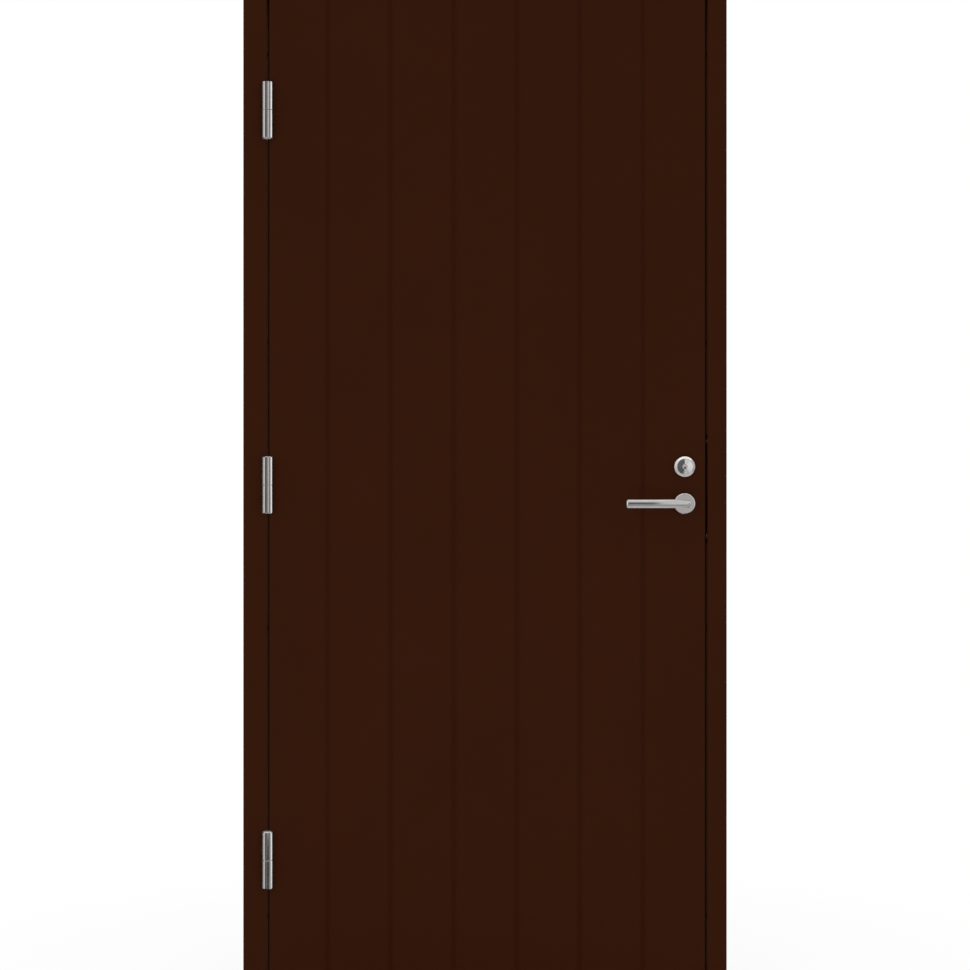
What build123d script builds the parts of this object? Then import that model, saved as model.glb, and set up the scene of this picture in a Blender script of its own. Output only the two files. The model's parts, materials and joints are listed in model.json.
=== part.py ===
"""Storeroom door: a grooved, outward opening leaf hung in its timber frame, in millimetres.

X runs along the wall, Y runs into the building and Z runs up. The origin lies under the middle of the sill.
"""
import os

from build123d import *

# Frame
frame_width = 990.0
frame_height = 2090.0
frame_depth = 92.0
hinge_jamb_face = 48.0
lock_jamb_face = 39.0
head_face = 39.0
running_gap = 5.0
stop_overlap = 12.0
arris_radius = 2.0

# Threshold
threshold_height = 25.0
ledge_fall = 3.0
tread_thickness = 2.0
tread_margin = 1.5
tread_groove_pitch = 6.0
tread_groove_width = 1.6
tread_groove_depth = 0.7

# Seal in the frame
seal_space = 6.0
seal_clearance = 0.5
seal_width = 8.0
seal_shoulder = 1.5
kerf_width = 3.0
kerf_depth = 6.0
seal_root_fit = 0.2
seal_root_space = 1.0

# Frame fixings
fixing_radius = 7.0
fixing_pitch = 590.0
fixing_count = 4

# Leaf
leaf_thickness = 44.0
skin_thickness = 8.0
hinge_stile_width = 60.0
lock_stile_width = 105.0
top_rail_height = 90.0
bottom_rail_height = 120.0
first_board = 120.0
board_pitch = 129.2
groove_count = 6
groove_width = 15.0
groove_depth = 3.2
groove_shoulder = 2.5

# Lift-off hinges
hinge_end_distance = 279.0
hinge_length = 116.0
knuckle_radius = 10.0
knuckle_stand_off = 2.0
knuckle_gap = 0.5
knuckle_chamfer = 1.2
joint_chamfer = 0.6
neck_inset = 2.0
pin_radius = 5.0
pin_fit = 0.1
pin_engagement = 40.0
pin_end_space = 0.3
pin_lead = 1.0
hinge_plate_thickness = 2.5
hinge_plate_depth = 32.0
hinge_plate_corner = 8.0

# Lock
lever_height = 1007.0
cylinder_rise = 75.5
backset = 42.5
case_thickness = 15.0
case_beyond_axis = 28.0
case_below_lever = 62.0
case_above_cylinder = 48.0
faceplate_width = 22.0
faceplate_thickness = 3.0
faceplate_overhang = 20.0
bolt_thickness = 12.0
bolt_length = 28.0
bolt_fit = 0.3
latch_height = 32.0
latch_rise = 8.0
latch_bevel = 9.0
dead_bolt_height = 38.0
dead_bolt_drop = 6.0

# Strike plate
strike_width = 28.0
strike_thickness = 2.5
strike_corner = 6.0
strike_slot_margin = 1.5
strike_pocket_depth = 18.0

# Lever set
rosette_radius = 21.0
rosette_thickness = 8.0
rosette_edge = 1.2
lever_radius = 8.5
lever_reach = 121.0
lever_projection = 52.0
lever_tip_edge = 1.4
neck_fit = 0.3
spindle_side = 8.0
spindle_reach = 24.0
spindle_fit = 0.1
spindle_passage = 9.0

# Key cylinder
ring_radius = 20.75
ring_face_radius = 16.6
ring_height = 13.0
ring_bevel_height = 3.6
cylinder_radius = 15.8
cylinder_fit = 0.1
cylinder_set_back = 0.4
plug_radius = 5.5
plug_rise = 1.4
keyway_radius = 2.3
keyway_flat = 1.1
keyway_depth = 8.0
keyway_drop = 3.0

# Working values
cut_over = 1.0
snap = 0.01

# Places that follow from the sizes above
front = -frame_depth / 2
back = frame_depth / 2
leaf_back = front + leaf_thickness
leaf_middle = front + leaf_thickness / 2
stop_face = leaf_back + seal_space

stop_width = running_gap + stop_overlap
frame_left = -frame_width / 2
frame_right = frame_width / 2
hinge_reveal = frame_left + hinge_jamb_face
lock_reveal = frame_right - lock_jamb_face
head_reveal = frame_height - head_face
hinge_stop = hinge_reveal + stop_width
lock_stop = lock_reveal - stop_width
head_stop = head_reveal - stop_width

leaf_left = hinge_reveal + running_gap
leaf_right = lock_reveal - running_gap
leaf_top = head_reveal - running_gap
leaf_bottom = threshold_height - stop_overlap
ledge_height = leaf_bottom - running_gap
tread_seat = threshold_height - tread_thickness

front_inner = front + skin_thickness
back_inner = leaf_back - skin_thickness
stile_left = leaf_left + hinge_stile_width
stile_right = leaf_right - lock_stile_width

hinge_x = hinge_reveal + running_gap / 2
hinge_y = front - knuckle_stand_off - knuckle_radius
hinge_heights = {
    "top": frame_height - hinge_end_distance,
    "middle": frame_height / 2,
    "bottom": hinge_end_distance,
}

lock_x = leaf_right - backset
cylinder_height = lever_height + cylinder_rise
case_left = lock_x - case_beyond_axis
case_right = leaf_right - faceplate_thickness
case_bottom = lever_height - case_below_lever
case_top = cylinder_height + case_above_cylinder
latch_centre = lever_height + latch_rise
dead_bolt_centre = cylinder_height - dead_bolt_drop
faceplate_centre = (case_bottom + case_top) / 2
faceplate_length = case_top - case_bottom + 2 * faceplate_overhang

leaf_mid_plane = Plane(origin=(0, leaf_middle, 0), x_dir=(1, 0, 0), z_dir=(0, 1, 0))


def block(x0, x1, y0, y1, z0, z1):
    """A rectangular solid between six planes."""
    corner = (Align.MIN, Align.MIN, Align.MIN)
    return Pos(x0, y0, z0) * Box(x1 - x0, y1 - y0, z1 - z0, align=corner)


def outline(points):
    """A flat face inside a closed line of points."""
    return make_face(Polyline(*points, close=True))


def eased(face, points, radius):
    """The face with the named corners rounded."""
    corners = [v for v in face.vertices() if any((v.center() - Vector(*p)).length < snap for p in points)]
    return fillet(corners, radius)


def rod(radius, start, end):
    """A round bar along Z."""
    upright = (Align.CENTER, Align.CENTER, Align.MIN)
    return Pos(0, 0, start) * Cylinder(radius, end - start, align=upright)


def end_edge(solid, which):
    """The round edge at the low end (0) or the high end (-1) of a bar along Z."""
    return solid.edges().filter_by(GeomType.CIRCLE).sort_by(Axis.Z)[which]


def along_x(face, x0, x1):
    """A section drawn in Y and Z, run from x0 to x1."""
    return extrude(Plane.YZ.offset(x0) * face, x1 - x0)


def outside_face(x, z):
    """A place on the outer face of the leaf, with its own Z pointing out of the door."""
    return Plane(origin=(x, front, z), x_dir=(1, 0, 0), z_dir=(0, -1, 0))


def inside_copy(solid):
    """The same piece on the inner face of the leaf."""
    return mirror(solid, about=leaf_mid_plane)


def jamb_points(outer, reveal, stop):
    """The rebated section of a jamb, in X and Y."""
    rebate = [(reveal, front), (reveal, stop_face), (stop, stop_face)]
    return [(outer, front), *rebate, (stop, back), (outer, back)]


def jamb_blank(outer, reveal, stop):
    """A jamb before its edges are eased and its kerf is cut, which the head and threshold are coped to."""
    return extrude(outline(jamb_points(outer, reveal, stop)), frame_height)


def kerf(across, depth_from):
    """The slot that the seal's root is pressed into, as a section."""
    return Pos(across, depth_from + kerf_depth / 2) * Rectangle(kerf_width, kerf_depth)


def jamb(outer, reveal, stop):
    """A jamb with eased edges, a seal kerf and its fixing holes."""
    section = outline(jamb_points(outer, reveal, stop))
    arrises = [(outer, front), (reveal, front), (stop, stop_face), (stop, back)]
    section = eased(section, arrises, arris_radius)
    section -= kerf(seal_centre(stop, reveal), stop_face)
    solid = extrude(section, frame_height)
    length = abs(reveal - outer) + 2 * cut_over
    for i in range(fixing_count):
        z = frame_height / 2 + (i - (fixing_count - 1) / 2) * fixing_pitch
        solid -= Pos((outer + reveal) / 2, leaf_middle, z) * Rot(0, 90, 0) * Cylinder(fixing_radius, length)
    return solid


def seal_centre(stop, reveal):
    """The middle of the stop's overlap with the leaf."""
    toward_reveal = 1 if reveal > stop else -1
    return stop + toward_reveal * stop_overlap / 2


def seal_section():
    """A bulb seal with its root, drawn with the bulb on the low Y side of the stop face."""
    half = seal_width / 2
    root = kerf_width / 2 - seal_root_fit
    root_end = kerf_depth - seal_root_space
    crown = -(seal_space - seal_clearance)
    bulb = ThreePointArc((half, -seal_shoulder), (0, crown), (-half, -seal_shoulder))
    points = [(-half, -seal_shoulder), (-half, 0), (-root, 0), (-root, root_end)]
    points += [(root, root_end), (root, 0), (half, 0), (half, -seal_shoulder)]
    sides = Polyline(*points)
    return make_face([sides, bulb])


def upright_seal(stop, reveal):
    """A seal that runs up a jamb, from the threshold's ledge to the head."""
    seat = Plane(origin=(seal_centre(stop, reveal), stop_face, ledge_height))
    return extrude(seat * seal_section(), head_reveal - ledge_height)


def level_seal(z):
    """A seal that runs along the head or the threshold, between the jambs' stops."""
    seat = Plane(origin=(hinge_stop, stop_face, z), x_dir=(0, 0, -1), z_dir=(1, 0, 0))
    return extrude(seat * seal_section(), lock_stop - hinge_stop)


def frame_head_piece():
    """The head, coped to both jambs."""
    points = [(front, frame_height), (front, head_reveal), (stop_face, head_reveal)]
    points += [(stop_face, head_stop), (back, head_stop), (back, frame_height)]
    section = eased(outline(points), [points[0], points[1], points[3], points[4]], arris_radius)
    centre = seal_centre(head_stop, head_reveal)
    section -= Pos(stop_face + kerf_depth / 2, centre) * Rectangle(kerf_depth, kerf_width)
    return along_x(section, frame_left, frame_right) - hinge_jamb_blank - lock_jamb_blank


def threshold_piece():
    """The threshold, with a sloped ledge below the leaf and an upstand behind it."""
    nosing = (front, ledge_height - ledge_fall)
    upstand = [(back, tread_seat), (stop_face, tread_seat), (stop_face, ledge_height)]
    points = [(front, 0), (back, 0), *upstand, nosing]
    section = eased(outline(points), [nosing], arris_radius)
    centre = seal_centre(threshold_height, leaf_bottom)
    section -= Pos(stop_face + kerf_depth / 2, centre) * Rectangle(kerf_depth, kerf_width)
    return along_x(section, frame_left, frame_right) - hinge_jamb_blank - lock_jamb_blank


def tread_plate():
    """The grooved metal plate on top of the threshold."""
    y0 = stop_face + tread_margin
    y1 = back - tread_margin
    points = [(y0, tread_seat), (y1, tread_seat), (y1, threshold_height), (y0, threshold_height)]
    section = eased(outline(points), points[2:], tread_thickness / 2)
    grooves = int((y1 - y0) / tread_groove_pitch) - 1
    first = (y0 + y1) / 2 - (grooves - 1) * tread_groove_pitch / 2
    for i in range(grooves):
        place = Pos(first + i * tread_groove_pitch, threshold_height - tread_groove_depth / 2)
        section -= place * Rectangle(tread_groove_width, tread_groove_depth)
    return along_x(section, hinge_stop, lock_stop)


def hinge_plate(x0, height):
    """A flat hinge plate let into an edge, with its rear corners rounded."""
    y1 = front + hinge_plate_depth
    z0 = height - hinge_length / 2
    z1 = height + hinge_length / 2
    corners = [(front, z0), (y1, z0), (y1, z1), (front, z1)]
    face = eased(outline(corners), corners[1:3], hinge_plate_corner)
    return along_x(face, x0, x0 + hinge_plate_thickness)


def hinge_neck(x0, z0, z1):
    """The web that joins a plate to its knuckle."""
    return block(x0, x0 + hinge_plate_thickness, hinge_y, front, z0 + neck_inset, z1 - neck_inset)


def hinge_frame_half(height):
    """The lower half of a hinge, with the fixed pin that the leaf is lifted off."""
    low = height - hinge_length / 2
    high = height - knuckle_gap / 2
    knuckle = rod(knuckle_radius, low, high)
    knuckle = chamfer(end_edge(knuckle, 0), knuckle_chamfer)
    knuckle = chamfer(end_edge(knuckle, -1), joint_chamfer)
    pin = rod(pin_radius, low, height + knuckle_gap / 2 + pin_engagement)
    pin = chamfer(end_edge(pin, -1), pin_lead)
    x0 = hinge_reveal - hinge_plate_thickness
    return Pos(hinge_x, hinge_y) * (knuckle + pin) + hinge_neck(x0, low, high) + hinge_plate(x0, height)


def hinge_leaf_half(height):
    """The upper half of a hinge, which hangs over the pin."""
    low = height + knuckle_gap / 2
    high = height + hinge_length / 2
    knuckle = rod(knuckle_radius, low, high)
    knuckle = chamfer(end_edge(knuckle, -1), knuckle_chamfer)
    knuckle = chamfer(end_edge(knuckle, 0), joint_chamfer)
    bore = rod(pin_radius + pin_fit, low - cut_over, low + pin_engagement + pin_end_space)
    plate = hinge_neck(leaf_left, low, high) + hinge_plate(leaf_left, height)
    return Pos(hinge_x, hinge_y) * knuckle + plate - Pos(hinge_x, hinge_y) * bore


def skin(face, inner):
    """A board-effect skin of the leaf: V grooves and eased edges on its face side."""
    into = 1 if inner > face else -1
    section = outline([(leaf_left, face), (leaf_right, face), (leaf_right, inner), (leaf_left, inner)])
    shoulders = []
    for i in range(groove_count):
        x = leaf_left + first_board + i * board_pitch
        mouth = [(x - groove_width / 2, face), (x + groove_width / 2, face)]
        section -= outline([*mouth, (x, face + into * groove_depth)])
        shoulders += mouth
    section = eased(section, shoulders, groove_shoulder)
    section = eased(section, [(leaf_left, face), (leaf_right, face)], arris_radius)
    side = outline([(face, leaf_bottom), (inner, leaf_bottom), (inner, leaf_top), (face, leaf_top)])
    side = eased(side, [(face, leaf_bottom), (face, leaf_top)], arris_radius)
    boards = extrude(Pos(0, 0, leaf_bottom) * section, leaf_top - leaf_bottom)
    return boards & along_x(side, leaf_left, leaf_right)


def rail(z0, z1):
    """A level member of the leaf's inner frame, between its stiles."""
    return block(stile_left, stile_right, front_inner, back_inner, z0, z1)


def across_leaf(radius, z):
    """A round passage through the whole leaf on the lock's axis."""
    length = leaf_thickness + 2 * cut_over
    return Pos(lock_x, leaf_middle, z) * Rot(90, 0, 0) * Cylinder(radius, length)


def bolt_space(centre, height, margin, x0, x1):
    """A slot for a bolt, with a margin all round."""
    half = bolt_thickness / 2 + margin
    rise = height / 2 + margin
    return block(x0, x1, leaf_middle - half, leaf_middle + half, centre - rise, centre + rise)


def faceplate():
    """The round-ended plate on the lock's edge."""
    slot = Rot(0, 0, 90) * SlotOverall(faceplate_length, faceplate_width)
    return along_x(Pos(leaf_middle, faceplate_centre) * slot, case_right, leaf_right)


def lock_blank():
    """The outline of the lock case and its faceplate, which is cut out of the stile."""
    half = case_thickness / 2
    case = block(case_left, case_right, leaf_middle - half, leaf_middle + half, case_bottom, case_top)
    return case + faceplate()


def lock_case_piece():
    """The lock case with the spaces for its bolts and the spindle."""
    x0 = leaf_right - bolt_length - bolt_fit
    x1 = leaf_right + cut_over
    solid = lock_blank() - bolt_space(latch_centre, latch_height, bolt_fit, x0, x1)
    solid -= bolt_space(dead_bolt_centre, dead_bolt_height, bolt_fit, x0, x1)
    return solid - across_leaf(spindle_passage, lever_height)


def latch_piece():
    """The latch bolt, drawn back flush, with the bevel on its closing side."""
    solid = bolt_space(latch_centre, latch_height, 0, leaf_right - bolt_length, leaf_right)
    y1 = leaf_middle + bolt_thickness / 2
    wedge = outline([(leaf_right, y1), (leaf_right, y1 - latch_bevel), (leaf_right - latch_bevel, y1)])
    return solid - extrude(Pos(0, 0, latch_centre - latch_height / 2) * wedge, latch_height)


def dead_bolt_piece():
    """The dead bolt, drawn back flush."""
    return bolt_space(dead_bolt_centre, dead_bolt_height, 0, leaf_right - bolt_length, leaf_right)


def strike_blank():
    """The strike plate before its slots are cut."""
    face = RectangleRounded(strike_width, faceplate_length, strike_corner)
    return along_x(Pos(leaf_middle, faceplate_centre) * face, lock_reveal, lock_reveal + strike_thickness)


def strike_slots(x1):
    """The slots for latch and dead bolt, from the rebate face to x1."""
    latch = bolt_space(latch_centre, latch_height, strike_slot_margin, lock_reveal, x1)
    return latch + bolt_space(dead_bolt_centre, dead_bolt_height, strike_slot_margin, lock_reveal, x1)


def rosette():
    """The round plate that the lever's neck turns in."""
    disc = rod(rosette_radius, 0, rosette_thickness)
    disc = chamfer(end_edge(disc, -1), rosette_edge)
    disc -= rod(lever_radius + neck_fit, -cut_over, rosette_thickness + cut_over)
    return outside_face(lock_x, lever_height) * disc


def cylinder_ring():
    """The bevelled security ring round the key cylinder."""
    bore = cylinder_radius + cylinder_fit
    side_height = ring_height - ring_bevel_height
    points = [(bore, 0), (ring_radius, 0), (ring_radius, side_height), (ring_face_radius, ring_height)]
    section = outline([*points, (bore, ring_height)])
    return outside_face(lock_x, cylinder_height) * revolve(Plane.XZ * section, Axis.Z)


def key_cylinder():
    """The key cylinder, with a shallow cone up to its flat plug, and the keyway in that."""
    foot = -(leaf_thickness - case_thickness) / 2
    rim = ring_height - cylinder_set_back
    crown = rim + plug_rise
    points = [(0, foot), (cylinder_radius, foot), (cylinder_radius, rim), (plug_radius, crown), (0, crown)]
    solid = revolve(Plane.XZ * outline(points), Axis.Z)
    flat = Pos(0, -keyway_flat - keyway_radius) * Rectangle(2 * keyway_radius, 2 * keyway_radius)
    keyway = Pos(0, -keyway_drop, crown - keyway_depth) * (Circle(keyway_radius) - flat)
    solid -= extrude(keyway, keyway_depth)
    return outside_face(lock_x, cylinder_height) * solid


def lever():
    """A round lever, mitred to its neck, with a square socket for the spindle."""
    mitre = Plane(origin=(0, 0, lever_projection), x_dir=(0, 1, 0), z_dir=(-1, 0, 1))
    neck = rod(lever_radius, neck_fit, lever_projection + lever_radius)
    neck = split(neck, bisect_by=mitre, keep=Keep.BOTTOM)
    bar = rod(lever_radius, -lever_radius, lever_reach)
    bar = chamfer(end_edge(bar, -1), lever_tip_edge)
    bar = split(Pos(0, 0, lever_projection) * Rot(0, -90, 0) * bar, bisect_by=mitre, keep=Keep.TOP)
    socket_side = spindle_side + 2 * spindle_fit
    socket = extrude(Rectangle(socket_side, socket_side), spindle_reach + spindle_fit)
    return outside_face(lock_x, lever_height) * (neck + bar - socket)


def spindle_piece():
    """The square spindle that joins the two levers."""
    half = spindle_side / 2
    y0 = front - spindle_reach
    y1 = leaf_back + spindle_reach
    return block(lock_x - half, lock_x + half, y0, y1, lever_height - half, lever_height + half)


# Frame pieces
hinge_jamb_blank = jamb_blank(frame_left, hinge_reveal, hinge_stop)
lock_jamb_blank = jamb_blank(frame_right, lock_reveal, lock_stop)
hinge_jamb = jamb(frame_left, hinge_reveal, hinge_stop)
lock_jamb = jamb(frame_right, lock_reveal, lock_stop) - strike_blank()
lock_jamb -= strike_slots(lock_reveal + strike_thickness + strike_pocket_depth)

# Leaf pieces
spindle_hole = across_leaf(spindle_passage, lever_height)
cylinder_hole = across_leaf(cylinder_radius + cylinder_fit, cylinder_height)
front_skin = skin(front, front_inner) - spindle_hole - cylinder_hole
back_skin = skin(leaf_back, back_inner) - spindle_hole - cylinder_hole
hinge_stile = block(leaf_left, stile_left, front_inner, back_inner, leaf_bottom, leaf_top)
lock_stile = block(stile_right, leaf_right, front_inner, back_inner, leaf_bottom, leaf_top)
lock_stile -= lock_blank()
lock_stile = lock_stile - spindle_hole - cylinder_hole

# Mortises for the hinge plates
for height in hinge_heights.values():
    leaf_plate = hinge_plate(leaf_left, height)
    hinge_jamb -= hinge_plate(hinge_reveal - hinge_plate_thickness, height)
    front_skin -= leaf_plate
    hinge_stile -= leaf_plate

pieces = {
    "hinge_jamb": hinge_jamb,
    "lock_jamb": lock_jamb,
    "frame_head": frame_head_piece(),
    "threshold": threshold_piece(),
    "threshold_plate": tread_plate(),
    "seal_hinge_side": upright_seal(hinge_stop, hinge_reveal),
    "seal_lock_side": upright_seal(lock_stop, lock_reveal),
    "seal_head": level_seal(seal_centre(head_stop, head_reveal)),
    "seal_threshold": level_seal(seal_centre(threshold_height, leaf_bottom)),
    "strike_plate": strike_blank() - strike_slots(lock_reveal + strike_thickness),
    "front_skin": front_skin,
    "back_skin": back_skin,
    "hinge_stile": hinge_stile,
    "lock_stile": lock_stile,
    "top_rail": rail(leaf_top - top_rail_height, leaf_top),
    "bottom_rail": rail(leaf_bottom, leaf_bottom + bottom_rail_height),
    "lock_case": lock_case_piece(),
    "latch_bolt": latch_piece(),
    "dead_bolt": dead_bolt_piece(),
    "rosette_outside": rosette(),
    "rosette_inside": inside_copy(rosette()),
    "cylinder_ring_outside": cylinder_ring(),
    "cylinder_ring_inside": inside_copy(cylinder_ring()),
    "key_cylinder_outside": key_cylinder(),
    "key_cylinder_inside": inside_copy(key_cylinder()),
    "lever_outside": lever(),
    "lever_inside": inside_copy(lever()),
    "spindle": spindle_piece(),
}
for place, height in hinge_heights.items():
    pieces[f"hinge_{place}_frame_half"] = hinge_frame_half(height)
    pieces[f"hinge_{place}_leaf_half"] = hinge_leaf_half(height)

os.makedirs("parts", exist_ok=True)
for name, shape in pieces.items():
    export_step(shape, f"parts/{name}.step")
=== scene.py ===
"""Looks of the storeroom door: finishes, screws, finer metal pieces, studio light and the camera.

Everything is in metres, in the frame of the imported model: X along the wall, Y into the building, Z up.
"""
import json
import math

import bmesh
import bpy
from mathutils import Matrix, Vector


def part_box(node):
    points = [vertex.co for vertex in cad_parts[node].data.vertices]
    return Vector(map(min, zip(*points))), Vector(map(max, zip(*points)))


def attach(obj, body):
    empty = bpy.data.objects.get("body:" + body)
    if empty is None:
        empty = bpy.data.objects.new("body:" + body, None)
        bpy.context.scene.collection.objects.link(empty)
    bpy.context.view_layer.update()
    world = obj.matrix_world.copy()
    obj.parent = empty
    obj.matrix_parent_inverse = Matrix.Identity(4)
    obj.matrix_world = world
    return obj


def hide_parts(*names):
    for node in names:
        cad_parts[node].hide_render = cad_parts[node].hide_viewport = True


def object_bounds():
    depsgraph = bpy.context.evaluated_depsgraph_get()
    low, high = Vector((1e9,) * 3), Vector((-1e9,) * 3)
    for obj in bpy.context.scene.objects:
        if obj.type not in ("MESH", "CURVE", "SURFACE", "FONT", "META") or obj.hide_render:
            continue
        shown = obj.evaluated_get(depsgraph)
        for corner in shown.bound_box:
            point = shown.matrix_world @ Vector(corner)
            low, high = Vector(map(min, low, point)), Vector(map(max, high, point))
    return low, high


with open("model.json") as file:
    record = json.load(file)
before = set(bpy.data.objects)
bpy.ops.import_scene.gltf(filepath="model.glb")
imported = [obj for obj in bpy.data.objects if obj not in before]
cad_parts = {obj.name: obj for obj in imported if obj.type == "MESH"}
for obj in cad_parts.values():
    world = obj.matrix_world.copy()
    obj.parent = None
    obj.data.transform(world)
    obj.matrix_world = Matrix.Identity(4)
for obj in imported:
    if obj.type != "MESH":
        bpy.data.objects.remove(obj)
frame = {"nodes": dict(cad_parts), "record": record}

cad_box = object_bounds()
nodes = frame["nodes"]

# Camera
camera_distance = 4.5
camera_lens = 81.57
sensor_width = 36.0

# Colours, as linear values
paint_colour = (0.0320, 0.0073, 0.0018)
hinge_steel_colour = (0.59, 0.572, 0.568)
furniture_steel_colour = (0.64, 0.622, 0.607)
rosette_steel_colour = (0.53, 0.503, 0.493)
cylinder_steel_colour = (0.77, 0.75, 0.743)
lock_steel_colour = (0.52, 0.52, 0.53)
aluminium_colour = (0.60, 0.61, 0.62)
rubber_colour = (0.012, 0.012, 0.012)
hardwood_light = (0.26, 0.125, 0.052)
hardwood_dark = (0.14, 0.06, 0.024)
floor_colour = (0.86, 0.86, 0.86)
# The dark of painted shade in keyways and screw recesses
recess_shade_colour = (0.010, 0.010, 0.011)
white = (1, 1, 1, 1)

# Most of a noise's values lie in this range
noise_low = 0.25
noise_high = 0.75

# Paint: the wood grain under it, scaled along X, Y and Z, how much shows, and painted shade in the grooves
upright_grain = (260, 260, 7)
level_grain = (7, 260, 260)
grain_share = 0.8
groove_depth = 0.0032
groove_painted_shade = 0.90

# Metal: how far its roughness varies either way, and the roughness of its sheen
metal_unevenness = 0.15
sheen_roughness = 0.3

# Nodes with level grain, and nodes that the metal doesn't mirror
level_nodes = ("frame_head", "top_rail", "bottom_rail")
unmirrored = (
    "front_skin", "back_skin", "hinge_stile", "lock_stile", "top_rail", "bottom_rail",
    "lock_case", "latch_bolt", "dead_bolt", "spindle",
    "cylinder_ring_outside", "cylinder_ring_inside", "key_cylinder_outside", "key_cylinder_inside",
)

# Edges that turn by more than this stay crisp
crisp_angle = math.radians(35)

# Levers: the mitre's rings are at these turns about its inner corner, in degrees
lever_sides = 64
lever_tip_length = 0.0019
lever_tip_depth = 0.0012
lever_tip_edge = 0.0002
lever_mitre_power = 20
lever_mitre_turns = (0, 15, 27, 34, 38, 41, 43, 45, 47, 49, 52, 56, 63, 75, 90)

# Keyways
keyway_sides = 24
keyway_radius = 0.0022
keyway_wall = 0.0003
keyway_depth = 0.0075
keyway_drop = 0.0030
keyway_flat = 0.0010
keyway_set_back = 0.0002

# Screws: the cross recess has points at these turns between its arms, in degrees
screw_head_radius = 0.0042
screw_head_rise = 0.0003
screw_edge_rise = screw_head_rise / 3
screw_head_seat = 0.0004
screw_rim = 0.0005
cross_reach = 0.0024
cross_width = 0.0011
cross_floor = 0.00006
cross_taper = 0.85
cross_turns = (28, 45, 62)
hinge_gap = 0.005
hinge_screw_rows = (-0.044, -0.016, 0.016, 0.044)
hinge_screw_columns = (-0.0245, -0.0355)
faceplate_screw_spread = 0.0975
tread_screw_count = 6
tread_screw_margin = 0.045

# Floor
floor_left = -2.5
floor_right = 2.5
floor_front = -0.85
floor_back = 2.5
floor_glow_radius = 0.4
floor_clear_radius = 1.6
floor_glow_near = 0.88
mirrored_floor_glow = 0.61
mirrored_floor_reach = 0.55

# A low dark board in front of the door, which shows only in reflections
board_left = -0.358
board_right = 0.546
board_y = -1.16
board_foot = -0.08
board_top = 0.135
board_tone = 0.075

# Even light of the studio
ambient = 0.86

# Brightness round the studio, from an angle on: 0 is in front of the door, 90 at its right or above it
studio_left = [(-180, 0.50), (-174, 0.12), (-140, 0.70), (-72, 1.05), (-55, 0.05), (-34, 0.26), (-12, 0.11)]
studio_right = [(-180, 0.74), (40, 0.08), (66, 0.85), (80, 0.45), (95, 1.35), (140, 0.06), (174, 0.50)]
studio_slot = [(-180, 1.0), (6.6, 0.15), (14, 1.1)]
studio_levels = [(-180, 0.6), (-70, 0.50), (-52, 0.31), (-34, 0.40),
                 (30, 0.40), (52, 0.72), (74, 1.15), (126, 0.30)]
band_blur = 0.15
level_blur = 6.0

# The left bands end and the right ones start where the X of a direction passes this edge
studio_edge = math.sin(math.radians(4.54))
studio_edge_blur = math.sin(math.radians(0.08))

# Tilts up to which the slot and the bands reach, and how the bands brighten upwards
slot_inner = math.radians(11)
slot_outer = math.radians(15)
band_middle = math.radians(7)
left_reach = math.radians(24)
edge_reach = math.radians(11)
right_reach = math.radians(29)
reach_blur = math.radians(14)
band_fall = math.radians(25)
lift_below = 0.78
lift_above = 1.18

# Softboxes: place, aim, side and power in watts
softboxes = {
    "key": ((-2.0, -4.0, 1.5), (0, 0, 0.9), 2.4, 31.0),
    "fill": ((2.0, -4.4, 0.4), (0, 0, 0.6), 2.4, 14.0),
    "low": ((0, -1.6, 0.25), (0, 0, 0.1), 0.5, 2.4),
}


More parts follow.
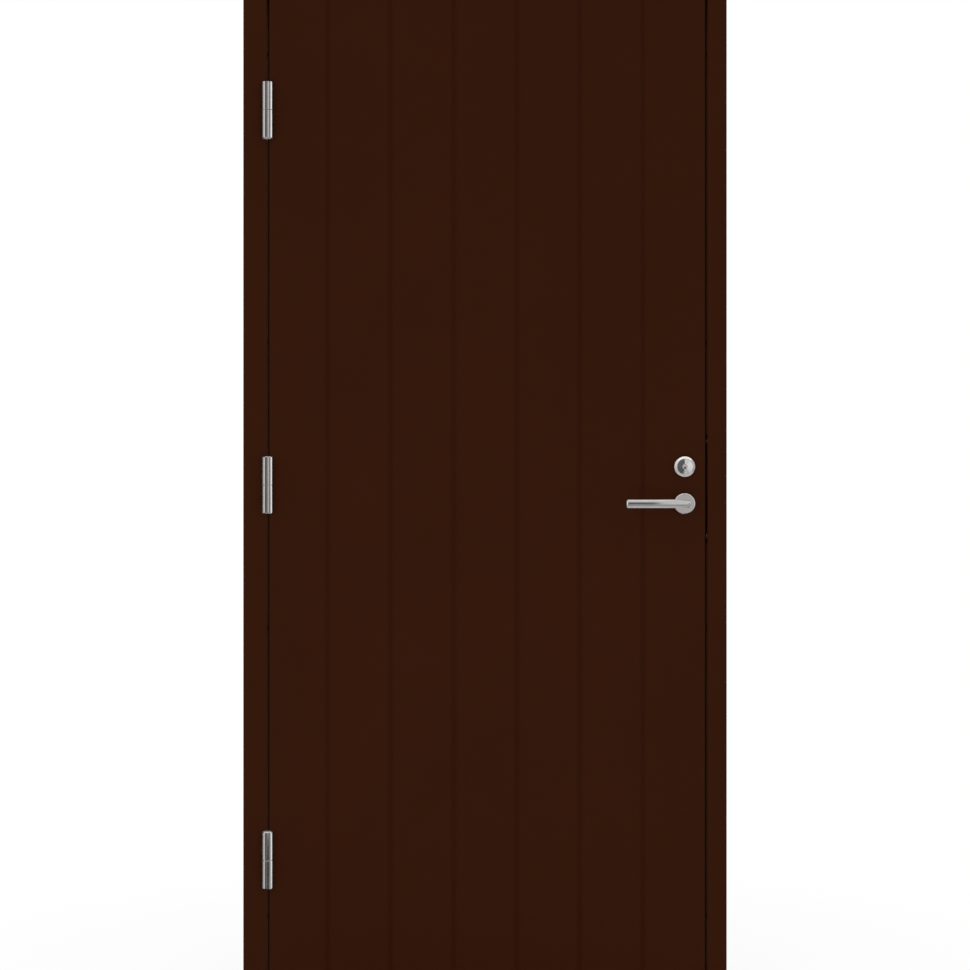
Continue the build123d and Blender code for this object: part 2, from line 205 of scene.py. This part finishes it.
class Tree:
    """A node tree that is written one node at a time."""

    def __init__(self, owner):
        owner.use_nodes = True
        self.tree = owner.node_tree
        self.tree.nodes.clear()

    def add(self, kind, inputs=None, **settings):
        """A node of this kind; an input takes a value or another node's socket."""
        node = self.tree.nodes.new("ShaderNode" + kind)
        for name, value in settings.items():
            setattr(node, name, value)
        for name, value in (inputs or {}).items():
            if isinstance(value, bpy.types.NodeSocket):
                self.tree.links.new(value, node.inputs[name])
            else:
                node.inputs[name].default_value = value
        return node

    def math(self, operation, a, b=0.0):
        """One sum."""
        return self.add("Math", {0: a, 1: b}, operation=operation).outputs[0]

    def mapped(self, value, start, end, low=0.0, high=1.0, shape="LINEAR"):
        """A value mapped from the range start to end onto low to high, and held beyond its ends."""
        inputs = {"Value": value, "From Min": start, "From Max": end, "To Min": low, "To Max": high}
        return self.add("MapRange", inputs, interpolation_type=shape).outputs["Result"]

    def ramp(self, fac, stops):
        """A colour ramp through (place, colour) stops."""
        node = self.add("ValToRGB", {"Fac": fac})
        elements = node.color_ramp.elements
        while len(elements) < len(stops):
            elements.new(1.0)
        for element, (place, colour) in zip(elements, stops):
            element.position = place
            element.color = (*colour, 1.0)
        return node.outputs["Color"]

    def noise(self, vector, scale, detail=2.0, roughness=0.5):
        """A noise value from 0 to 1."""
        inputs = {"Vector": vector, "Scale": scale, "Detail": detail, "Roughness": roughness}
        return self.add("TexNoise", inputs).outputs["Fac"]

    def spread(self, value, low, high):
        """A noise value mapped to a range."""
        return self.mapped(value, noise_low, noise_high, low, high)

    def stretched(self, scale):
        """Object coordinates, scaled along each axis."""
        place = self.add("TexCoord").outputs["Object"]
        return self.add("Mapping", {"Vector": place, "Scale": scale}).outputs["Vector"]

    def bump(self, height, distance):
        """A bumped normal."""
        return self.add("Bump", {"Height": height, "Distance": distance}).outputs["Normal"]

    def scaled(self, colour, factor):
        """A colour made lighter or darker by another node's value."""
        return self.add("VectorMath", {0: colour, "Scale": factor}, operation="SCALE").outputs["Vector"]

    def blend(self, share, first, second):
        """A colour between two colours."""
        return self.add("MixRGB", {"Fac": share, "Color1": first, "Color2": second}).outputs["Color"]

    def mix(self, share, first, second):
        """A shader between two shaders."""
        return self.add("MixShader", {0: share, 1: first, 2: second}).outputs["Shader"]

    def glow(self, strength):
        """A shader that glows white or grey by itself."""
        return self.add("Emission", {"Color": white, "Strength": strength}).outputs["Emission"]

    def backdrop(self, colour, strength):
        """A shader for the world."""
        return self.add("Background", {"Color": colour, "Strength": strength}).outputs["Background"]

    def surface(self, shader):
        """Sends a shader to the material's output."""
        self.tree.links.new(shader, self.add("OutputMaterial").inputs["Surface"])

    def principled(self, inputs):
        """Sends a principled shader with these inputs to the material's output."""
        self.surface(self.add("BsdfPrincipled", inputs).outputs["BSDF"])


def shade(colour, factor):
    """A colour made lighter or darker."""
    return tuple(c * factor for c in colour)


# Finishes
def satin_paint(name, grain_scale, face_y=None):
    """Dark brown satin paint, with the texture of a roller and a little of the wood under it.

    With face_y, the place of a grooved face, painted shade makes the paint darker towards the bottom of the
    grooves.
    """
    material = bpy.data.materials.new(name)
    t = Tree(material)
    place = t.stretched((1, 1, 1))
    mottle = t.noise(place, scale=3.0, detail=4.0)
    colour = t.ramp(mottle, [(noise_low, shade(paint_colour, 0.95)), (noise_high, shade(paint_colour, 1.05))])
    if face_y is not None:
        # Painted shade: the paint darkens towards the bottom of the grooves
        depth = t.add("SeparateXYZ", {0: place}).outputs["Y"]
        colour = t.scaled(colour, t.mapped(depth, face_y, face_y + groove_depth, 1.0, groove_painted_shade))
    peel = t.noise(place, scale=420.0)
    grain = t.noise(t.stretched(grain_scale), scale=1.0, detail=4.0, roughness=0.6)
    height = t.math("ADD", peel, t.math("MULTIPLY", grain, grain_share))
    t.principled({
        "Base Color": colour,
        "Roughness": t.spread(t.noise(place, scale=30.0, detail=3.0), 0.62, 0.74),
        "Specular IOR Level": 0.04,
        "Normal": t.bump(height, distance=0.00004),
    })
    return material


def satin_metal(name, colour, roughness, brush_scale, brush_depth, sheen=0.0):
    """Brushed metal; the brushing is stretched along the axis with the smallest scale."""
    material = bpy.data.materials.new(name)
    t = Tree(material)
    brush = t.noise(t.stretched(brush_scale), scale=1.0, detail=3.0, roughness=0.6)
    cloud = t.noise(t.stretched((1, 1, 1)), scale=60.0, detail=3.0)
    smoothest = roughness * (1 - metal_unevenness)
    roughest = roughness * (1 + metal_unevenness)
    t.principled({
        "Base Color": t.ramp(cloud, [(noise_low, shade(colour, 0.94)), (noise_high, shade(colour, 1.04))]),
        "Metallic": 1.0,
        "Roughness": t.spread(brush, smoothest, roughest),
        "Normal": t.bump(brush, brush_depth),
        "Sheen Weight": sheen,
        "Sheen Roughness": sheen_roughness,
    })
    return material


def rubber(name):
    """Matt black rubber with a fine moulded texture."""
    material = bpy.data.materials.new(name)
    t = Tree(material)
    place = t.stretched((1, 1, 1))
    dust_and_shade_speckle = t.noise(place, scale=40.0, detail=4.0)
    t.principled({
        "Base Color": t.ramp(dust_and_shade_speckle, [(0.3, rubber_colour), (0.8, shade(rubber_colour, 1.6))]),
        "Roughness": t.spread(dust_and_shade_speckle, 0.55, 0.7),
        "Specular IOR Level": 0.3,
        "Normal": t.bump(t.noise(place, scale=900.0), distance=0.00008),
    })
    return material


def oiled_hardwood(name):
    """Hardwood with its grain along X."""
    material = bpy.data.materials.new(name)
    t = Tree(material)
    fibres = t.noise(t.stretched((6, 420, 420)), scale=1.0, detail=5.0, roughness=0.6)
    bands = t.noise(t.stretched((1.2, 60, 60)), scale=1.0, detail=3.0)
    mixed = t.math("ADD", t.math("MULTIPLY", fibres, 0.5), t.math("MULTIPLY", bands, 0.5))
    t.principled({
        "Base Color": t.ramp(mixed, [(0.35, hardwood_dark), (0.65, hardwood_light)]),
        "Roughness": t.spread(fibres, 0.42, 0.58),
        "Specular IOR Level": 0.35,
        "Normal": t.bump(fibres, distance=0.0003),
    })
    return material


def painted_recess_shade(name):
    """Painted shade for a keyway or a screw's recess: a dark, rough surface."""
    material = bpy.data.materials.new(name)
    t = Tree(material)
    dust_and_shade_speckle = t.noise(t.stretched((1, 1, 1)), scale=1500.0, detail=3.0)
    t.principled({
        "Base Color": t.ramp(dust_and_shade_speckle, [(0.3, recess_shade_colour), (0.8, shade(recess_shade_colour, 2.0))]),
        "Roughness": t.spread(dust_and_shade_speckle, 0.6, 0.8),
        "Specular IOR Level": 0.2,
        "Normal": t.bump(dust_and_shade_speckle, distance=0.00003),
    })
    return material


finish = {
    "painted_timber": satin_paint("satin_brown_paint", upright_grain),
    "threshold": oiled_hardwood("oiled_hardwood"),
    "aluminium": satin_metal("mill_aluminium", aluminium_colour, roughness=0.34,
                             brush_scale=(8, 1500, 1500), brush_depth=0.00002),
    "seal": rubber("black_rubber"),
    "hinge_steel": satin_metal("satin_hinge_steel", hinge_steel_colour, roughness=0.11,
                               brush_scale=(900, 900, 40), brush_depth=0.000002, sheen=1.0),
    "lock_steel": satin_metal("zinc_lock_steel", lock_steel_colour, roughness=0.30,
                              brush_scale=(900, 900, 20), brush_depth=0.00001),
    "furniture_steel": satin_metal("satin_furniture_steel", furniture_steel_colour, roughness=0.03,
                                   brush_scale=(40, 900, 900), brush_depth=0.000001, sheen=1.0),
}
strike_steel = satin_metal("smooth_strike_steel", lock_steel_colour, roughness=0.14,
                           brush_scale=(900, 900, 20), brush_depth=0.000001)
rosette_steel = satin_metal("satin_rosette_steel", rosette_steel_colour, roughness=0.05,
                            brush_scale=(40, 900, 900), brush_depth=0.000001, sheen=1.0)
cylinder_steel = satin_metal("bright_cylinder_steel", cylinder_steel_colour, roughness=0.095,
                             brush_scale=(400, 400, 400), brush_depth=0.000002)
level_paint = satin_paint("satin_brown_paint_level_grain", level_grain)
# The front skin's paint, with painted shade in its grooves
grooved_paint_with_painted_shade = satin_paint("satin_brown_paint_with_painted_groove_shade", upright_grain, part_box("front_skin")[0].y)
# Painted shade for keyways and the recesses of screws
recess_shade = painted_recess_shade("painted_recess_shade")


def node_finish(node, slot):
    """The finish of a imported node: that of its slot, unless the node has its own."""
    if node in level_nodes:
        return level_paint
    if node == "front_skin":
        return grooved_paint_with_painted_shade
    if node == "strike_plate":
        return strike_steel
    if "rosette" in node:
        return rosette_steel
    if "cylinder" in node:
        return cylinder_steel
    return finish[slot]


def dress_nodes():
    """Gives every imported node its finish.

    The leaf's boards, its lock and the key cylinders stay out of reflections, which show the studio instead.
    """
    for part in frame["record"]["subparts"]:
        node = nodes[part["node"]]
        node.data.materials.clear()
        node.data.materials.append(node_finish(part["node"], part["material_slot"]))
        node.visible_glossy = part["node"] not in unmirrored


dress_nodes()


# Pieces
def finish_piece(name, shape, body, materials):
    """Makes an object of a bmesh, smooth except at its sharp edges, and lets it ride on a body."""
    bmesh.ops.recalc_face_normals(shape, faces=shape.faces)
    mesh = bpy.data.meshes.new(name)
    shape.to_mesh(mesh)
    shape.free()
    mesh.shade_smooth()
    mesh.set_sharp_from_angle(angle=crisp_angle)
    for material in materials:
        mesh.materials.append(material)
    piece = bpy.data.objects.new(name, mesh)
    bpy.context.scene.collection.objects.link(piece)
    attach(piece, body)
    return piece


def skin_rings(shape, rings):
    """Joins rings of points to a closed skin, and returns its strips of faces and its two flat ends."""
    loops = [[shape.verts.new(point) for point in ring] for ring in rings]
    strips = []
    for lower, upper in zip(loops, loops[1:]):
        strip = []
        for i in range(len(lower)):
            j = (i + 1) % len(lower)
            strip.append(shape.faces.new((lower[i], lower[j], upper[j], upper[i])))
        strips.append(strip)
    return strips, [shape.faces.new(loops[0]), shape.faces.new(loops[-1])]


def circle(radius, sides):
    """Points of a circle about the origin, as pairs."""
    turns = [2 * math.pi * i / sides for i in range(sides)]
    return [(radius * math.cos(turn), radius * math.sin(turn)) for turn in turns]


# Levers
def lever_rings(tip, pivot_x, pivot_out, radius, root_out):
    """Rings of a round lever along X, with a bevelled tip, that is mitred to its neck with a little rounding.

    A point is (x, distance out from the leaf, height). The rings of the mitre turn about the inner corner.
    """
    rings = []
    bar_out = pivot_out + radius
    bevel = (0, lever_tip_length - lever_tip_edge, lever_tip_length, lever_tip_length + lever_tip_edge)
    for along in bevel:
        inset = lever_tip_depth * max(0, 1 - along / lever_tip_length)
        rings.append([(tip + along, bar_out + u, v) for u, v in circle(radius - inset, lever_sides)])
    power = lever_mitre_power
    for degrees in lever_mitre_turns:
        turn = math.radians(degrees)
        stretch = (math.cos(turn) ** power + math.sin(turn) ** power) ** (-1 / power)
        ring = []
        for u, v in circle(radius, lever_sides):
            reach = (radius + u) * stretch
            ring.append((pivot_x + reach * math.sin(turn), pivot_out + reach * math.cos(turn), v))
        rings.append(ring)
    rings.append([(pivot_x + radius + u, root_out, v) for u, v in circle(radius, lever_sides)])
    return rings


def make_lever(side, out):
    """The lever on one side of the leaf; out is -1 outside and 1 inside."""
    low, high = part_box("lever_" + side)
    radius = (high.z - low.z) / 2
    middle = (high.z + low.z) / 2
    far, near = (low.y, high.y) if out < 0 else (high.y, low.y)
    root_out = abs(near)
    pivot_out = abs(far) - 2 * radius
    rings = lever_rings(low.x, high.x - 2 * radius, pivot_out, radius, root_out)
    shape = bmesh.new()
    skin_rings(shape, [[(x, out * reach, middle + z) for x, reach, z in ring] for ring in rings])
    steel = finish["furniture_steel"]
    piece = finish_piece("round_lever_" + side, shape, "lever", [steel])
    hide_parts("lever_" + side)


make_lever("outside", -1)
make_lever("inside", 1)


# Keyways
def make_keyway(side, out):
    """Painted shade in a keyway: a small dark cup with a flat side below, in the key cylinder's plug."""
    low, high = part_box("key_cylinder_" + side)
    face = low.y if out < 0 else high.y
    x = (low.x + high.x) / 2
    z = (low.z + high.z) / 2 - keyway_drop
    inner = keyway_radius - keyway_wall
    inner_flat = keyway_flat - keyway_wall
    floor = keyway_depth - keyway_wall
    profile = [
        (keyway_radius, keyway_flat, keyway_depth),
        (keyway_radius, keyway_flat, keyway_set_back),
        (inner, inner_flat, keyway_set_back),
        (inner, inner_flat, floor),
    ]
    rings = []
    for radius, flat, depth in profile:
        y = face - out * depth
        span = math.pi + 2 * math.asin(flat / radius)
        turns = [span * (i / keyway_sides - 0.5) for i in range(keyway_sides + 1)]
        rings.append([(x + radius * math.sin(turn), y, z + radius * math.cos(turn)) for turn in turns])
    shape = bmesh.new()
    skin_rings(shape, rings)
    finish_piece("keyway_painted_shade_" + side, shape, "leaf", [recess_shade])


make_keyway("outside", -1)
make_keyway("inside", 1)


# Screws
def cross_edge():
    """The outline of a cross recess: the directions of its points, and how far out they are."""
    half = cross_width / 2
    corner = math.atan2(half, cross_reach)
    between = [math.radians(turn) for turn in cross_turns]
    quarter = [0.0, corner, *between, math.pi / 2 - corner]
    turns = [turn + math.pi / 2 * i for i in range(4) for turn in quarter]
    reaches = []
    for turn in turns:
        across = max(abs(math.cos(turn)), abs(math.sin(turn)))
        along = min(abs(math.cos(turn)), abs(math.sin(turn)))
        reach = cross_reach / across
        if along > 0 and half / along < reach:
            reach = half / along
        reaches.append(reach)
    return turns, reaches


def add_screw(shape, place, out):
    """A countersunk screw head, almost flush with its plate, that faces along out."""
    turns, cross = cross_edge()
    turned = Vector((0, 0, 1)).rotation_difference(Vector(out)).to_matrix().to_4x4()
    stand = Matrix.Translation(place) @ turned

    def ring(reaches, height):
        return [stand @ Vector((reach * math.cos(turn), reach * math.sin(turn), height))
                for turn, reach in zip(turns, reaches)]

    head = [screw_head_radius] * len(turns)
    top = [screw_head_radius - screw_rim] * len(turns)
    bottom = [reach * cross_taper for reach in cross]
    strips, ends = skin_rings(shape, [
        ring(head, -screw_head_seat),
        ring(head, screw_edge_rise),
        ring(top, screw_head_rise),
        ring(cross, screw_head_rise),
        ring(bottom, cross_floor),
    ])
    # The walls and bottom of the cross recess take the second material, painted shade
    for face in (*strips[-1], ends[-1]):
        face.material_index = 1


def make_screws(name, body, slot, places):
    """All the screws of one set of plates as one piece; places are (point, direction) pairs."""
    shape = bmesh.new()
    for point, out in places:
        add_screw(shape, point, out)
    finish_piece(name, shape, body, [finish[slot], recess_shade])


def hinge_screw_places(face_x, out):
    """The screws of one side of all hinges, in two staggered columns on the plates."""
    places = []
    for hinge in ("top", "middle", "bottom"):
        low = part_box(f"hinge_{hinge}_frame_half")[0].z
        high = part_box(f"hinge_{hinge}_leaf_half")[1].z
        for i, row in enumerate(hinge_screw_rows):
            y = hinge_screw_columns[i % 2]
            places.append(((face_x, y, (low + high) / 2 + row), out))
    return places


def plate_screw_places(face_x, out):
    """A screw near each end of the strike plate, or of the faceplate that stands opposite."""
    low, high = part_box("strike_plate")
    middle = (low.z + high.z) / 2
    y = (low.y + high.y) / 2
    return [((face_x, y, middle + rise), out) for rise in (-faceplate_screw_spread, faceplate_screw_spread)]


def tread_screw_places():
    """A row of screws along the tread plate."""
    low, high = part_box("threshold_plate")
    first = low.x + tread_screw_margin
    step = (high.x - low.x - 2 * tread_screw_margin) / (tread_screw_count - 1)
    y = (low.y + high.y) / 2
    return [((first + i * step, y, high.z), (0, 0, 1)) for i in range(tread_screw_count)]


leaf_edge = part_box("hinge_stile")[0].x
jamb_edge = leaf_edge - hinge_gap
strike_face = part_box("strike_plate")[0].x
faceplate_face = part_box("lock_case")[1].x
make_screws("hinge_screws_in_jamb", "frame", "hinge_steel", hinge_screw_places(jamb_edge, (1, 0, 0)))
make_screws("hinge_screws_in_leaf", "leaf", "hinge_steel", hinge_screw_places(leaf_edge, (-1, 0, 0)))
make_screws("strike_plate_screws", "frame", "lock_steel", plate_screw_places(strike_face, (-1, 0, 0)))
make_screws("faceplate_screws", "leaf", "lock_steel", plate_screw_places(faceplate_face, (1, 0, 0)))
make_screws("tread_plate_screws", "frame", "aluminium", tread_screw_places())


# Studio
def make_sheet(name, corners, material):
    """A flat sheet with four corners."""
    mesh = bpy.data.meshes.new(name)
    mesh.from_pydata(corners, [], [(0, 1, 2, 3)])
    mesh.materials.append(material)
    sheet = bpy.data.objects.new(name, mesh)
    bpy.context.scene.collection.objects.link(sheet)
    return sheet


def make_floor():
    """A pale floor that the camera sees as white and that keeps a faint shadow of the door.

    Reflections show a plain grey near the door and the studio beside it.
    """
    material = bpy.data.materials.new("pale_floor")
    t = Tree(material)
    place = t.add("TexCoord").outputs["Object"]
    path = t.add("LightPath").outputs
    away = t.add("VectorMath", {0: place}, operation="LENGTH").outputs["Value"]
    whiteness = t.mapped(away, floor_glow_radius, floor_clear_radius, floor_glow_near, 1.0)
    speckle = t.noise(place, scale=25.0, detail=3.0)
    colour = t.ramp(speckle, [(0.3, shade(floor_colour, 0.99)), (0.7, floor_colour)])
    plain = t.add("BsdfDiffuse", {"Color": colour}).outputs["BSDF"]
    seen = t.mix(t.math("MULTIPLY", path["Is Camera Ray"], whiteness), plain, t.glow(1.0))
    sideways = t.math("ABSOLUTE", t.add("SeparateXYZ", {0: place}).outputs["X"])
    beside = t.math("GREATER_THAN", sideways, mirrored_floor_reach)
    through = t.add("BsdfTransparent").outputs["BSDF"]
    mirrored = t.mix(beside, t.glow(mirrored_floor_glow), through)
    in_mirror = t.math("MAXIMUM", path["Is Glossy Ray"], path["Is Transmission Ray"])
    t.surface(t.mix(in_mirror, seen, mirrored))
    near = [(floor_left, floor_front, 0), (floor_right, floor_front, 0)]
    far = [(floor_right, floor_back, 0), (floor_left, floor_back, 0)]
    floor = make_sheet("floor", near + far, material)


def make_board():
    """The low dark board, which darkens the middle of the bottom hinge."""
    material = bpy.data.materials.new("dark_board")
    t = Tree(material)
    t.surface(t.glow(board_tone))
    foot = [(board_left, board_y, board_foot), (board_right, board_y, board_foot)]
    top = [(board_right, board_y, board_top), (board_left, board_y, board_top)]
    board = make_sheet("dark_board", foot + top, material)
    board.visible_camera = False
    board.visible_diffuse = False
    board.visible_shadow = False
    board.visible_transmission = False


def degrees_place(angle):
    """The place on a ramp that goes once round, from -180 to 180 degrees."""
    return (angle + 180.0) / 360.0


def band_stops(bands, blur):
    """Ramp stops for bands of grey given as (start angle, brightness), with short blends between them."""
    stops = [(0.0, (bands[0][1],) * 3)]
    for (_, before), (start, after) in zip(bands, bands[1:]):
        stops.append((degrees_place(start - blur), (before,) * 3))
        stops.append((degrees_place(start + blur), (after,) * 3))
    return stops


def studio_colour(t):
    """The grey that metal mirrors from a direction: bands round the door, and levels far above and below."""
    axes = t.add("SeparateXYZ", {0: t.add("TexCoord").outputs["Generated"]}).outputs
    forward = t.math("MULTIPLY", axes["Y"], -1.0)
    around = t.mapped(t.math("ARCTAN2", axes["X"], forward), -math.pi, math.pi)
    climb = t.mapped(t.math("ARCTAN2", axes["Z"], forward), -math.pi, math.pi)
    tilt = t.math("ARCSINE", axes["Z"])
    left = t.ramp(around, band_stops(studio_left, band_blur))
    right = t.ramp(around, band_stops(studio_right, band_blur))
    levels = t.ramp(climb, band_stops(studio_levels, level_blur))
    slot = t.ramp(around, band_stops(studio_slot, band_blur))
    past_slot = t.mapped(t.math("ABSOLUTE", tilt), slot_inner, slot_outer)
    slot = t.blend(past_slot, slot, white)
    right = t.add("VectorMath", {0: right, 1: slot}, operation="MULTIPLY").outputs["Vector"]
    lift = t.mapped(tilt, -band_fall, band_fall, lift_below, lift_above)
    steepness = t.math("ABSOLUTE", t.math("SUBTRACT", tilt, band_middle))

    def with_levels(bands, reach):
        past_reach = t.math("SUBTRACT", steepness, reach)
        share = t.mapped(past_reach, 0.0, reach_blur, shape="SMOOTHSTEP")
        return t.blend(share, t.scaled(bands, lift), levels)

    past_edge = t.mapped(axes["X"], studio_edge - studio_edge_blur, studio_edge + studio_edge_blur)
    narrowing = t.mapped(axes["X"], -studio_edge / 2, studio_edge / 2, left_reach, edge_reach)
    return t.blend(past_edge, with_levels(left, narrowing), with_levels(right, right_reach))


def make_world():
    """White to the camera, grey bands of a studio to the metal, and an even soft light to everything else."""
    world = bpy.data.worlds.new("studio")
    bpy.context.scene.world = world
    t = Tree(world)
    path = t.add("LightPath").outputs
    lit = t.mix(path["Is Glossy Ray"], t.backdrop(white, ambient), t.backdrop(studio_colour(t), 1.0))
    clear = t.math("MAXIMUM", path["Is Camera Ray"], path["Is Transmission Ray"])
    seen = t.mix(clear, lit, t.backdrop(white, 1.0))
    t.tree.links.new(seen, t.add("OutputWorld").inputs["Surface"])


def make_softbox(name, place, aim, side, power):
    """A square softbox that the metal doesn't mirror, since the studio's bands stand for it there."""
    lamp = bpy.data.lights.new(name, "AREA")
    lamp.shape = "SQUARE"
    lamp.size = side
    lamp.energy = power
    holder = bpy.data.objects.new(name, lamp)
    holder.location = place
    holder.rotation_euler = (Vector(aim) - Vector(place)).to_track_quat("-Z", "Y").to_euler()
    holder.visible_glossy = False
    holder.visible_camera = False
    bpy.context.scene.collection.objects.link(holder)


def make_camera():
    """The camera of the photograph, straight in front of the door's middle."""
    low, high = cad_box
    data = bpy.data.cameras.new("camera")
    data.lens = camera_lens
    data.sensor_width = sensor_width
    camera = bpy.data.objects.new("camera", data)
    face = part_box("front_skin")[0].y
    camera.location = (0.0, face - camera_distance, (low[2] + high[2]) / 2)
    camera.rotation_euler = (math.pi / 2, 0, 0)
    bpy.context.scene.collection.objects.link(camera)
    bpy.context.scene.camera = camera


make_floor()
make_board()
make_world()
for name, (place, aim, side, power) in softboxes.items():
    make_softbox(name, place, aim, side, power)
make_camera()
bpy.context.scene.view_settings.view_transform = "Standard"
